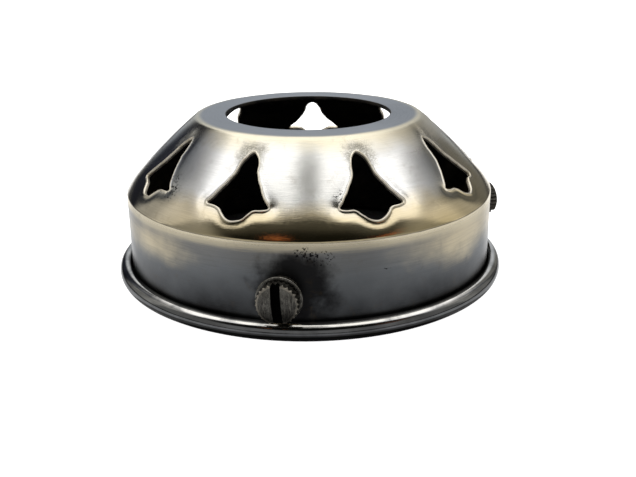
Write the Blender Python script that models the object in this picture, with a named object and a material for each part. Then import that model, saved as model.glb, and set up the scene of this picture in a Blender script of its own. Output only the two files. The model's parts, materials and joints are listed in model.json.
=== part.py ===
"""A lamp-shade gallery: a turned brass shell with a hole for the lampholder in its top, a pierced
conical shoulder, a straight skirt that takes the neck of a glass shade, and a curled rim. Three
slotted thumb screws, each with a plain washer and a threaded bush, grip the neck through the skirt.

The axis of the gallery is +Z, and the origin is the middle of the hole at the upper face of the top,
where the lampholder holds the gallery. All sizes below are in millimetres, and heights are measured
up from the plane that the curled rim stands on.
"""

import math

import bmesh
import bpy
from mathutils import Matrix, Vector

MM = 0.001

# Shell
SHEET = 0.7
HOLE_R = 14.25
TOP_Z = 27.85
TOP_FLAT_R = 18.8
TOP_BEND_R = 1.6
SLOPE_TOP = (20.0, 27.33)
SLOPE_FOOT = (30.0, 17.86)
SLOPE_RISE = 0.28
CREASE = (31.88, 15.41)
CREASE_RISE = 0.06
CREASE_DROP = 0.35
SKIRT_R = 32.0
CURL_R = 1.5
CURL_END_DEG = 466.0
SHELL_SIDES = 72

# Vents in the shoulder
VENT_COUNT = 9
VENT_TIP = (21.75, 25.86)
VENT_LEAN_DEG = 44.0
VENT_CUT = 5.0
# Half of the bell outline: distance down the slope from the tip, and half of the width there.
VENT_HALF = (
    (0.0, 0.0), (0.8, 0.65), (1.5, 1.12), (2.3, 1.42), (3.4, 1.6), (4.8, 2.1), (6.2, 2.85),
    (7.5, 3.7), (8.5, 4.45), (9.05, 4.98), (9.3, 4.95), (9.6, 4.2), (9.8, 3.3), (10.2, 2.5),
    (10.9, 2.0), (11.5, 1.35), (11.8, 0.7), (11.9, 0.0),
)

# Screws, washers and bushes, measured along each screw's axis from the axis of the gallery
SCREW_Z = 7.3
SCREW_AZIMUTHS_DEG = (-6.4, 113.6, 233.6)
SCREW_BACKED_OUT = (1.9, 3.9, 3.0)
SLOT_TURNS_DEG = (9.0, -34.0, 62.0)
SCREW_NAMES = ("front", "right", "left")
THREAD_R = 1.45
TIP_CHAMFER = 0.45
REACH = 6.6
WASHER_R = 3.55
WASHER_BORE_R = 1.75
WASHER_THICK = 0.6
HEAD_GAP = 0.3
HEAD_R = 3.24
HEAD_THICK = 1.65
DOME_RISE = 0.75
TOOTH_COUNT = 26
TOOTH_DEPTH = 0.22
RIM_CHAMFER = 0.25
SLOT_WIDTH = 1.4
SLOT_DEPTH = 1.35
BUSH_R = 2.9
BUSH_BARREL_R = 2.1
BUSH_BORE_R = 1.75
BUSH_INNER = 28.9
BUSH_GAP = 0.3
BUSH_HOLE_R = 2.4
ROUND_SIDES = 32


def clear_scene():
    for obj in list(bpy.data.objects):
        bpy.data.objects.remove(obj, do_unlink=True)


def make_material(name, colour, roughness, metallic=1.0):
    material = bpy.data.materials.new(name)
    material.use_nodes = True
    shader = material.node_tree.nodes["Principled BSDF"]
    shader.inputs["Base Color"].default_value = (*colour, 1.0)
    shader.inputs["Roughness"].default_value = roughness
    shader.inputs["Metallic"].default_value = metallic
    return material


def add_object(name, mesh_builder, material=None, parent=None):
    """Turns a bmesh in millimetres into an object, with smooth sides and sharp corners."""
    bmesh.ops.recalc_face_normals(mesh_builder, faces=mesh_builder.faces)
    bmesh.ops.scale(mesh_builder, vec=(MM, MM, MM), verts=mesh_builder.verts)
    mesh = bpy.data.meshes.new(name)
    mesh_builder.to_mesh(mesh)
    mesh_builder.free()
    mesh.shade_smooth()
    mesh.set_sharp_from_angle(angle=math.radians(35))
    obj = bpy.data.objects.new(name, mesh)
    bpy.context.scene.collection.objects.link(obj)
    if material:
        mesh.materials.append(material)
    obj.parent = parent
    return obj


def cut_with(obj, cutter):
    cutter.hide_render = True
    cutter.display_type = "WIRE"
    cut = obj.modifiers.new("cut_" + cutter.name, "BOOLEAN")
    cut.operation = "DIFFERENCE"
    cut.object = cutter
    cut.solver = "EXACT"


def arc(centre, radius, start_deg, end_deg, steps):
    """Points of an arc about centre, with both its ends."""
    points = []
    for step in range(steps + 1):
        angle = math.radians(start_deg + (end_deg - start_deg) * step / steps)
        points.append(Vector((centre[0] + radius * math.cos(angle), centre[1] + radius * math.sin(angle))))
    return points


def bowed(start, end, rise, steps):
    """Points from start to end along a shallow arc that stands out by rise, without its last point."""
    start, end = Vector(start), Vector(end)
    along = end - start
    outward = Vector((-along.y, along.x)).normalized()
    points = []
    for step in range(steps):
        t = step / steps
        points.append(start + along * t + outward * rise * 4 * t * (1 - t))
    return points


def shell_skin():
    """The outer skin of the shell from the edge of the hole to the end of the curl, as (r, z)."""
    bend_centre = (TOP_FLAT_R, TOP_Z - TOP_BEND_R)
    skin = [Vector((HOLE_R, TOP_Z))]
    skin += arc(bend_centre, TOP_BEND_R, 90, 50, 4)
    skin += bowed(SLOPE_TOP, SLOPE_FOOT, SLOPE_RISE, 5)
    skin += bowed(SLOPE_FOOT, CREASE, CREASE_RISE, 4)
    skin += [Vector(CREASE), Vector((SKIRT_R, CREASE[1] - CREASE_DROP))]
    curl_centre = (SKIRT_R + CURL_R - SHEET, CURL_R)
    skin += arc(curl_centre, CURL_R - SHEET, 180, CURL_END_DEG, 11)
    return skin


def offset_inward(skin, distance):
    """The skin moved to its right-hand side by the thickness of the sheet, mitred at each corner."""
    moved = []
    for i, point in enumerate(skin):
        before = (point - skin[i - 1]).normalized() if i else None
        after = (skin[i + 1] - point).normalized() if i + 1 < len(skin) else None
        before, after = before or after, after or before
        side_before = Vector((before.y, -before.x))
        side_after = Vector((after.y, -after.x))
        mitre = (side_before + side_after).normalized()
        moved.append(point + mitre * distance / mitre.dot(side_after))
    return moved


def turned(profile, sides):
    """A closed (r, z) profile turned once round Z."""
    builder = bmesh.new()
    corners = [builder.verts.new((r, 0, z)) for r, z in profile]
    edges = [builder.edges.new((corners[i - 1], corners[i])) for i in range(len(corners))]
    bmesh.ops.spin(
        builder, geom=corners + edges, cent=(0, 0, 0), axis=(0, 0, 1), angle=math.tau, steps=sides,
        use_merge=True,
    )
    bmesh.ops.remove_doubles(builder, verts=builder.verts, dist=1e-5)
    return builder


def solid_of_revolution(profile, sides):
    """A profile whose two ends lie on the Z axis, turned to a closed solid."""
    builder = bmesh.new()
    rings = []
    for r, z in profile:
        if r == 0:
            rings.append([builder.verts.new((0, 0, z))])
            continue
        ring = []
        for side in range(sides):
            angle = math.tau * side / sides
            ring.append(builder.verts.new((r * math.cos(angle), r * math.sin(angle), z)))
        rings.append(ring)
    for upper, lower in zip(rings, rings[1:]):
        join_rings(builder, upper, lower)
    return builder


def join_rings(builder, first, second):
    """Faces between two rings of points, either of which may be a single point."""
    sides = max(len(first), len(second))
    for side in range(sides):
        following = (side + 1) % sides
        corners = [first[side % len(first)], first[following % len(first)]]
        corners += [second[following % len(second)], second[side % len(second)]]
        builder.faces.new(list(dict.fromkeys(corners)))


def tube(outer_r, inner_r, low, high, sides):
    return turned([(inner_r, low), (outer_r, low), (outer_r, high), (inner_r, high)], sides)


def add_empty(name, location, parent=None):
    empty = bpy.data.objects.new(name, None)
    empty.location = location
    empty.parent = parent
    bpy.context.scene.collection.objects.link(empty)
    return empty


def make_shell(rim_plane, material):
    skin = shell_skin()
    profile = skin + offset_inward(skin, SHEET)[::-1]
    return add_object("gallery_shell", turned(profile, SHELL_SIDES), material, rim_plane)


def make_vent_cutter(rim_plane):
    """One bell-shaped prism for each vent, square to the slope, all in one cutter."""
    lean = math.radians(VENT_LEAN_DEG)
    down_slope = Vector((math.cos(lean), 0, -math.sin(lean)))
    out_of_slope = Vector((math.sin(lean), 0, math.cos(lean)))
    across = Vector((0, 1, 0))
    tip = Vector((VENT_TIP[0], 0, VENT_TIP[1]))
    outline = [(down, half) for down, half in VENT_HALF]
    outline += [(down, -half) for down, half in VENT_HALF[-2:0:-1]]
    builder = bmesh.new()
    for vent in range(VENT_COUNT):
        turn = Matrix.Rotation(math.pi / 2 + math.tau * vent / VENT_COUNT, 3, "Z")
        layers = []
        for depth in (-VENT_CUT, VENT_CUT):
            layer = []
            for down, aside in outline:
                point = tip + down_slope * down + across * aside + out_of_slope * depth
                layer.append(builder.verts.new(turn @ point))
            layers.append(layer)
        join_rings(builder, layers[0], layers[1])
        builder.faces.new(layers[0][::-1])
        builder.faces.new(layers[1])
    return add_object("vent_cutter", builder, parent=rim_plane)


def make_station(name, azimuth_deg, rim_plane):
    """An empty on the gallery's axis whose own Z points out along the screw and whose Y is up."""
    station = add_empty("screw_station_" + name, (0, 0, SCREW_Z * MM), rim_plane)
    station.rotation_euler = (math.pi / 2, 0, math.radians(azimuth_deg))
    return station


def make_bush(name, station, shell, material):
    hole = add_object(
        "bush_hole_" + name,
        solid_of_revolution(
            [(0, SKIRT_R + 2), (BUSH_HOLE_R, SKIRT_R + 2), (BUSH_HOLE_R, SKIRT_R - 3), (0, SKIRT_R - 3)],
            ROUND_SIDES,
        ),
        parent=station,
    )
    cut_with(shell, hole)
    shoulder = math.sqrt((SKIRT_R - SHEET) ** 2 - BUSH_R**2) - BUSH_GAP
    profile = [
        (BUSH_BORE_R, BUSH_INNER), (BUSH_R, BUSH_INNER), (BUSH_R, shoulder),
        (BUSH_BARREL_R, shoulder), (BUSH_BARREL_R, SKIRT_R), (BUSH_BORE_R, SKIRT_R),
    ]
    return add_object("screw_bush_" + name, turned(profile, ROUND_SIDES), material, station)


def make_washer(name, station, back, material):
    ring = tube(WASHER_R, WASHER_BORE_R, back, back + WASHER_THICK, ROUND_SIDES)
    return add_object("washer_" + name, ring, material, station)


def knurled_ring(builder, outer, depth, z):
    """A ring of teeth: the points alternate between the crests and the roots."""
    ring = []
    for corner in range(2 * TOOTH_COUNT):
        angle = math.pi * corner / TOOTH_COUNT
        r = outer - depth * (corner % 2)
        ring.append(builder.verts.new((r * math.cos(angle), r * math.sin(angle), z)))
    return ring


def make_screw(name, station, back, slot_turn_deg, material):
    head_back = back + WASHER_THICK + HEAD_GAP
    rim = head_back + HEAD_THICK
    tip = back - REACH
    builder = bmesh.new()
    rings = [[builder.verts.new((0, 0, tip))]]
    shank = ((THREAD_R - TIP_CHAMFER, tip), (THREAD_R, tip + TIP_CHAMFER), (THREAD_R, head_back))
    for r, z in shank:
        rings.append(knurled_ring(builder, r, 0, z))
    rings.append(knurled_ring(builder, HEAD_R - RIM_CHAMFER, 0, head_back))
    rings.append(knurled_ring(builder, HEAD_R, TOOTH_DEPTH, head_back + RIM_CHAMFER))
    rings.append(knurled_ring(builder, HEAD_R, TOOTH_DEPTH, rim - RIM_CHAMFER))
    for share in (1.0, 0.7, 0.35):
        r = (HEAD_R - RIM_CHAMFER) * share
        rings.append(knurled_ring(builder, r, 0, rim + DOME_RISE * (1 - share**2)))
    rings.append([builder.verts.new((0, 0, rim + DOME_RISE))])
    for lower, upper in zip(rings, rings[1:]):
        join_rings(builder, lower, upper)
    screw = add_object("thumb_screw_" + name, builder, material, station)

    slot = bmesh.new()
    bmesh.ops.create_cube(slot, size=1)
    height = SLOT_DEPTH + 2
    floor = rim + DOME_RISE - SLOT_DEPTH
    bmesh.ops.scale(slot, vec=(SLOT_WIDTH, 3 * HEAD_R, height), verts=slot.verts)
    bmesh.ops.translate(slot, vec=(0, 0, floor + height / 2), verts=slot.verts)
    turn = Matrix.Rotation(math.radians(slot_turn_deg), 3, "Z")
    bmesh.ops.rotate(slot, cent=(0, 0, 0), matrix=turn, verts=slot.verts)
    cut_with(screw, add_object("slot_cutter_" + name, slot, parent=station))
    return screw


def main():
    clear_scene()
    shell_brass = make_material("antique_brass_shell", (0.42, 0.38, 0.30), 0.28)
    bush_brass = make_material("plain_brass_bush", (0.55, 0.45, 0.27), 0.40)
    washer_bronze = make_material("dark_bronze_washer", (0.17, 0.165, 0.15), 0.32)
    screw_bronze = make_material("dark_bronze_screw", (0.14, 0.135, 0.12), 0.36)

    rim_plane = add_empty("rim_plane", (0, 0, -TOP_Z * MM))
    shell = make_shell(rim_plane, shell_brass)
    cut_with(shell, make_vent_cutter(rim_plane))
    for i, name in enumerate(SCREW_NAMES):
        station = make_station(name, SCREW_AZIMUTHS_DEG[i], rim_plane)
        washer_back = SKIRT_R + SCREW_BACKED_OUT[i]
        make_bush(name, station, shell, bush_brass)
        make_washer(name, station, washer_back, washer_bronze)
        make_screw(name, station, washer_back, SLOT_TURNS_DEG[i], screw_bronze)


main()
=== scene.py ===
"""The finish of the lamp-shade gallery: a spun and pierced brass shell with antique patina, its bushes,
washers and knurled thumb screws, and a plain white studio.

Sizes are in millimetres and heights are measured up from the plane the curled rim stands on. Meshes are
made in the row frame, whose origin is the middle of the hole at the upper face of the top.
"""

import json
import math

import bmesh
import bpy
import numpy as np
from mathutils import Matrix, Vector
from mathutils.geometry import delaunay_2d_cdt


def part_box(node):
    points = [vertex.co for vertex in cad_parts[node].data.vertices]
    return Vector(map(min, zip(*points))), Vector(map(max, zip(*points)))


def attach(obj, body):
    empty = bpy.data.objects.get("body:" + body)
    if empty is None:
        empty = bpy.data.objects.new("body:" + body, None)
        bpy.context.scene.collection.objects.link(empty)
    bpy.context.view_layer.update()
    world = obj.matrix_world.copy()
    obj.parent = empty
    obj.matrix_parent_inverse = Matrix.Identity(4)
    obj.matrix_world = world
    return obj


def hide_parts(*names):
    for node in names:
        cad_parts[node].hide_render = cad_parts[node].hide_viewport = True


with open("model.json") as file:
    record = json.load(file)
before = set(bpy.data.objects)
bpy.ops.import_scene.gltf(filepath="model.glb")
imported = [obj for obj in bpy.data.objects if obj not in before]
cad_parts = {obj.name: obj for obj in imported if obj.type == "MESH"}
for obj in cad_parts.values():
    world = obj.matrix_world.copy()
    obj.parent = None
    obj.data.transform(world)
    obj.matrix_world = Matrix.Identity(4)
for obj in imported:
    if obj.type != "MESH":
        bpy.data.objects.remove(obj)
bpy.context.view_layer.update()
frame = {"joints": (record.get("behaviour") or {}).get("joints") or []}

MM = 0.001
scene = bpy.context.scene
RIM_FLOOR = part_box("gallery_shell")[0].z / MM

# Section of the shell
SHEET = 0.7
HOLE_R = 14.25
TOP_Z = 27.85
BEND_CENTRE = (18.8, 26.25)
BEND_R = 1.6
BEND_END_DEG = 51.3
SLOPE_FOOT = (30.0, 17.86)
SLOPE_RISE = 0.28
FOOT_RISE = 0.062
SKIRT_R = 32.0
CREASE_R = 0.75
CREASE_Z = 15.0
CREASE_START_DEG = 33.0
CURL_R = 1.484
CURL_Z = 1.5
CURL_END_DEG = 466.0
CUT_EDGE_R = 0.15
AROUND = 360
ROW_STEP = 0.45
PLAIN_STEP = 0.9
BEND_STEP = 0.18
CREASE_STEP = 0.09
CURL_STEP = 0.16

# Vents: a bell with two barbs, as (across, down the slope) from its tip
VENT_COUNT = 9
VENT_TIP_R = 21.75
SLOPE_LEAN = math.radians(44.0)
VENT_SIDE = (
    (0.27, 0.16), (0.78, 0.8), (1.33, 2.1), (1.6, 3.5), (2.1, 4.8), (2.9, 6.25), (3.75, 7.5), (4.5, 8.45),
    (4.92, 8.9), (5.05, 9.15), (4.85, 9.42), (4.2, 9.6), (3.3, 9.75), (2.6, 10.15), (2.0, 10.85),
    (1.25, 11.55),
)
# How far each vent was set out from its even place round the shoulder
VENT_STRAY_DEG = (-0.9, 0.3, -0.3, -0.35, -1.25, 0.8, 0.8, 0.2, -0.2)
# The piercing saw wandered a little: waves round a vent, and how far each went
SAW_WANDER = ((3, 0.04), (7, 0.035), (13, 0.025), (19, 0.015))
VENT_LENGTH = 11.9
OUTLINE_STEPS = 5
VENT_EDGE_R = 0.22
EDGE_OFFSETS = (0.0, 0.04, 0.12, 0.22, 0.33, 0.46, 0.64)
GRID_GUARD = 0.22
BURR_WIDTH = 0.35
MOST_RAISED = 0.06
DENT_REACH = 4.0

# Finishes of the shell, in the order of its materials; the curl's starts a little past the skirt's foot
OUTSIDE, INSIDE, CUT_EDGE, CURL = range(4)
CURL_FROM = 0.3

# Screws: z = 0 is the back of the washer that each carries
PITCH = 0.5
THREAD_R = 1.45
THREAD_DEPTH = 0.26
THREAD_STEP = 0.0625
TIP_CHAMFER = 0.45
REACH = 6.6
WASHER_R = 3.55
WASHER_BORE_R = 1.75
WASHER_THICK = 0.6
HEAD_GAP = 0.3
HEAD_R = 3.24
HEAD_THICK = 1.63
HEAD_BACK = WASHER_THICK + HEAD_GAP
HEAD_RIM = HEAD_BACK + HEAD_THICK
DOME_RISE = 0.7
TOOTH_COUNT = 26
TOOTH_DEPTH = 0.3
HEAD_COLUMNS = TOOTH_COUNT * 12
SHANK_COLUMNS = TOOTH_COUNT * 2
SHARP_EDGE_DEG = 38
SLOT_WIDTH = 1.4
SLOT_DEPTH = 1.35
SLOT_FLOOR = HEAD_RIM + DOME_RISE - SLOT_DEPTH
SLOT_CORNER = 0.12
SLOT_BREAK = 0.07
SLOT_TURNS_DEG = {"front": 4.0, "right": -34.0, "left": 62.0}

# Bushes
BUSH_R = 2.9
BUSH_BARREL_R = 2.1
BUSH_BORE_R = 1.75
BUSH_THREAD_DEPTH = 0.06
BUSH_INNER = 28.9
BUSH_GAP = 0.3
BUSH_HOLE_R = 2.4

# Camera, as it stands to the gallery
CAMERA_AWAY = 148.2
CAMERA_UP = 58.2
CAMERA_LENS = 48.62
CAMERA_DOWN = 0.349
CAMERA_ASIDE = 0.010
CAMERA_ROLL = -0.010
CAMERA_ROUND_DEG = 1.35

FLOOR_R = 3000.0
# A dark disc on the floor inside the gallery: painted shade
SHADOW_DISC_R = 33.2
SHADOW_DISC_HEIGHT = 0.006


def in_row_frame(points):
    """Points in millimetres above the rim plane, as metres in the row frame."""
    moved = np.array(points, float)
    moved[:, 2] -= TOP_Z
    return moved * MM


def add_object(name, data):
    obj = bpy.data.objects.new(name, data)
    scene.collection.objects.link(obj)
    return obj


def new_piece(name, points, faces, materials, face_material=None):
    """A smooth mesh object from points in the row frame."""
    mesh = bpy.data.meshes.new(name)
    mesh.from_pydata([tuple(p) for p in points], [], faces)
    for material in materials:
        mesh.materials.append(material)
    if face_material is not None:
        mesh.polygons.foreach_set("material_index", np.array(face_material, np.int32))
    mesh.validate()
    mesh.shade_smooth()
    return add_object(name, mesh)


def axes_at(axes, place):
    """The matrix that turns x, y and z to the given axes and moves them to a place."""
    matrix = Matrix.Identity(4)
    for column, direction in enumerate((*axes, place)):
        matrix.col[column][:3] = direction
    return matrix


def ring_pairs(count):
    """Each index round a ring with the one after it."""
    return [(i, (i + 1) % count) for i in range(count)]


def swing_from(turn, theta):
    """The angle from turn to theta, between -pi and pi."""
    return (theta - turn + math.pi) % math.tau - math.pi


# ---- shell section

def on_arc(centre, radius, angle):
    return centre[0] + radius * math.cos(angle), centre[1] + radius * math.sin(angle)


def arc_rows(centre, radius, start_deg, end_deg, side, step=ROW_STEP):
    """Rows of (r, height, normal's r, normal's height) along an arc; side is -1 on a hollow arc."""
    steps = max(4, round(radius * abs(math.radians(end_deg - start_deg)) / step))
    return [
        (*on_arc(centre, radius, angle), side * math.cos(angle), side * math.sin(angle))
        for angle in np.radians(np.linspace(start_deg, end_deg, steps + 1))
    ]


def straight_rows(start, end, normal):
    steps = max(2, round(math.dist(start, end) / PLAIN_STEP))
    return [(*place, *normal) for place in np.linspace(start, end, steps + 1)]


def bowed_rows(start, end, rise):
    """Rows along a shallow arc from start down to end that stands out by rise."""
    start, end = Vector(start), Vector(end)
    chord = end - start
    outward = Vector((-chord.y, chord.x)).normalized()
    radius = chord.length_squared / (8 * rise) + rise / 2
    centre = (start + end) / 2 - outward * (radius - rise)
    angles = [math.degrees(math.atan2(p.y - centre.y, p.x - centre.x)) for p in (start, end)]
    return arc_rows(centre, radius, *angles, 1)


def outer_rows():
    """The outer face of the sheet from the edge of the hole to the end of the curl."""
    slope_start = on_arc(BEND_CENTRE, BEND_R, math.radians(BEND_END_DEG))
    crease = (SKIRT_R - CREASE_R, CREASE_Z)
    foot_end = on_arc(crease, CREASE_R, math.radians(CREASE_START_DEG))
    curl_inner = CURL_R - SHEET
    parts = [
        straight_rows((HOLE_R + CUT_EDGE_R, TOP_Z), (BEND_CENTRE[0], TOP_Z), (0, 1)),
        arc_rows(BEND_CENTRE, BEND_R, 90, BEND_END_DEG, 1, BEND_STEP),
        bowed_rows(slope_start, SLOPE_FOOT, SLOPE_RISE),
        bowed_rows(SLOPE_FOOT, foot_end, FOOT_RISE),
        arc_rows(crease, CREASE_R, CREASE_START_DEG, 0, 1, CREASE_STEP),
        straight_rows((SKIRT_R, CREASE_Z), (SKIRT_R, CURL_Z), (1, 0)),
        arc_rows((SKIRT_R + curl_inner, CURL_Z), curl_inner, 180, CURL_END_DEG, -1, CURL_STEP),
    ]
    return np.array([row for part in parts[:-1] for row in part[:-1]] + parts[-1])


def edge_rows(row, onward):
    """The rounded cut edge of the sheet beyond its end row, from the outer face to the inner."""
    point, normal = np.array(row[:2]), np.array(row[2:4])
    turns = np.radians((30, 60, 90))
    depths = CUT_EDGE_R * (1 - np.cos(turns))
    steps = [*zip(turns, depths), *zip(turns[::-1], SHEET - depths[::-1])]
    return [
        (*(point + onward * CUT_EDGE_R * math.sin(turn) - normal * depth), *normal)
        for turn, depth in steps
    ]


class Section:
    """The closed section of the sheet: outer rows, the curl's cut edge, inner rows, the hole's cut edge."""

    def __init__(self):
        outer = outer_rows()
        steps = np.linalg.norm(np.diff(outer[:, :2], axis=0), axis=1)
        self.outer = outer.T
        self.r = self.outer[0]
        self.s = np.concatenate([[0], np.cumsum(steps)])
        self.count = len(outer)
        end = outer[-1]
        curl_edge = edge_rows(end, np.array((end[3], -end[2])))
        hole_edge = edge_rows(outer[0], np.array((-1.0, 0.0)))[::-1]
        inner = outer.copy()
        inner[:, :2] -= SHEET * inner[:, 2:]
        self.rows = np.array([*outer, *curl_edge, *inner[::-1], *hole_edge])
        self.row_s = np.concatenate([
            self.s, np.full(len(curl_edge), self.s[-1]), self.s[::-1], np.full(len(hole_edge), self.s[0])
        ])
        self.inner_start = self.count + len(curl_edge)

    def inner_row(self, j):
        return self.inner_start + self.count - 1 - j

    def at(self, s):
        """r, height and normal of the outer face at the distances s from the hole."""
        return [np.interp(s, self.s, part) for part in self.outer]

    def s_at_r(self, r):
        slope = slice(np.searchsorted(self.r, BEND_CENTRE[0]), np.searchsorted(self.r, SLOPE_FOOT[0]) + 1)
        return float(np.interp(r, self.r[slope], self.s[slope]))

    def s_at_skirt(self, height):
        return float(self.s[np.argmax(self.r >= SKIRT_R - 1e-6)] + CREASE_Z - height)


# ---- openings in the shell

def smooth_loop(corners, steps):
    """A closed Catmull-Rom curve through the corners."""
    corners = np.array(corners, float)
    points = []
    for i in range(len(corners)):
        a, b, c, d = (corners[(i + k) % len(corners)] for k in (-1, 0, 1, 2))
        for t in np.arange(steps) / steps:
            parabola = 2 * b + (c - a) * t + (2 * a - 5 * b + 4 * c - d) * t**2
            points.append(0.5 * (parabola + (3 * b - a - 3 * c + d) * t**3))
    return np.array(points)


def loop_normals(loop):
    """Normals of a counter-clockwise loop, pointing away from what it encloses."""
    along = np.roll(loop, -1, axis=0) - np.roll(loop, 1, axis=0)
    normals = np.stack([along[:, 1], -along[:, 0]], axis=1)
    return normals / np.linalg.norm(normals, axis=1)[:, None]


def distance_outside(points, loop):
    """Distance from each point to the loop, negative inside it."""
    a, b = loop, np.roll(loop, -1, axis=0)
    edge = b - a
    rel = points[:, None, :] - a[None]
    t = np.clip((rel * edge).sum(2) / (edge**2).sum(1), 0, 1)
    nearest = np.linalg.norm(rel - t[..., None] * edge, axis=2).min(1)
    straddles = (a[None, :, 1] > points[:, None, 1]) != (b[None, :, 1] > points[:, None, 1])
    rise = np.where(edge[:, 1] == 0, 1e-12, edge[:, 1])
    crossing = a[:, 0] + (points[:, None, 1] - a[:, 1]) * edge[:, 0] / rise
    inside = (straddles & (points[:, None, 0] < crossing)).sum(1) % 2 == 1
    return np.where(inside, -nearest, nearest)


def bell(value, width):
    return np.exp(-((value / width) ** 2))


class Opening:
    """A hole through the sheet. Its own flat coordinates are (across, down), square to the wall."""

    def __init__(self, section, turn, start):
        self.section = section
        self.turn = turn
        self.start = start

    def bend(self, r, across):
        return r - np.sqrt(r**2 - across**2)

    def to_wall(self, flat):
        """The angle and the distance along the section of flat points."""
        across, down = flat[:, 0], flat[:, 1]
        s = self.start + down
        r = self.section.at(s)[0]
        s = s + self.bend(r, across) * self.lean
        return self.turn + np.arcsin(across / self.section.at(s)[0]), s

    def to_flat(self, theta, s):
        r = self.section.at(s)[0]
        across = r * np.sin(np.clip(swing_from(self.turn, theta), -1.2, 1.2))
        return np.stack([across, s - self.start - self.bend(r, across) * self.lean], axis=1)

    def near(self, theta, s, margin):
        """Which points may lie within margin of the loop."""
        swing = np.abs(swing_from(self.turn, theta))
        low, high = self.loop[:, 1].min() - margin, self.loop[:, 1].max() + margin
        wide = (np.abs(self.loop[:, 0]).max() + margin) / self.section.at(s)[0]
        return (swing < wide * 1.05) & (s - self.start > low) & (s - self.start < high + 0.5)


class Vent(Opening):
    lean = math.cos(SLOPE_LEAN)

    def __init__(self, section, turn, dice):
        super().__init__(section, turn, section.s_at_r(VENT_TIP_R))
        left = [(-across, down) for across, down in VENT_SIDE[::-1]]
        loop = smooth_loop([(0, 0.0), *VENT_SIDE, (0, VENT_LENGTH), *left], OUTLINE_STEPS)
        steps = np.linalg.norm(np.roll(loop, -1, axis=0) - loop, axis=1)
        share = np.cumsum(steps) / steps.sum() * math.tau
        wander = sum(size * np.sin(waves * share + dice.uniform(0, math.tau)) for waves, size in SAW_WANDER)
        self.loop = loop + loop_normals(loop) * wander[:, None]
        # The sheet was pushed the other way on the two vents to the right of the front.
        self.side = -1.0 if turn % math.tau < 5.0 else 1.0
        self.strength = dice.uniform(0.75, 1.25)

    def push(self, flat, away):
        """How far the wall stands out round the vent, in millimetres: a burr, then a drawn-in trough."""
        across, down = flat.T
        away = np.maximum(away, 0)
        barb = (np.abs(across) - 5.45) ** 2 + (down - 9.1) ** 2
        inner_barb = np.where(across * self.side < 0, 1.0, 0.3)
        above = bell(down + 0.6, 1.6)
        pinch = bell(across, 0.7) * above
        ridge = bell(across - self.side * 1.45, 0.36) * above
        burr, trough, slump = bell(away - 0.18, 0.17), bell(away - 0.75, 0.5), bell(away, 1.9)
        stand = 0.055 * burr - 0.07 * trough - 0.08 * slump - 0.10 * pinch + 0.085 * ridge
        return self.strength * (stand - 0.14 * inner_barb * np.exp(-barb / 0.4))


class BushHole(Opening):
    lean = 0.0

    def __init__(self, section, turn, height):
        super().__init__(section, turn, section.s_at_skirt(height))
        around = np.linspace(0, math.tau, 64, endpoint=False)
        self.loop = BUSH_HOLE_R * np.stack([np.cos(around), np.sin(around)], axis=1)

    def push(self, flat, away):
        return np.zeros(len(flat))


def waviness(theta, s):
    """The slight unevenness of metal spun by hand."""
    return (
        0.012 * np.sin(5 * theta + 0.4 * s + 0.6) * np.sin(0.33 * s + 2 * theta)
        + 0.008 * np.sin(11 * theta - 0.5 * s + 2.1)
        + 0.005 * np.sin(23 * theta + 0.9 * s) * np.cos(0.7 * s)
    )


def free_corners(cells, blocked):
    """The grid's free corners round an opening, and the edges between them that must stay."""
    spots, edges = {}, []

    def spot(j, i):
        return spots.setdefault((j, i % AROUND), len(spots))

    for j, i in np.argwhere(cells).tolist():
        for row, column in ((j, i), (j + 1, i), (j + 1, i + 1), (j, i + 1)):
            if not blocked[row, column % AROUND]:
                spot(row, column)
        for beyond, start, end in (
            ((j - 1, i), (j, i), (j, i + 1)), ((j + 1, i), (j + 1, i), (j + 1, i + 1)),
            ((j, i - 1), (j, i), (j + 1, i)), ((j, i + 1), (j, i + 1), (j + 1, i + 1)),
        ):
            if not cells[beyond[0], beyond[1] % AROUND]:
                edges.append((spot(*start), spot(*end)))
    return list(spots), edges


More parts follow.
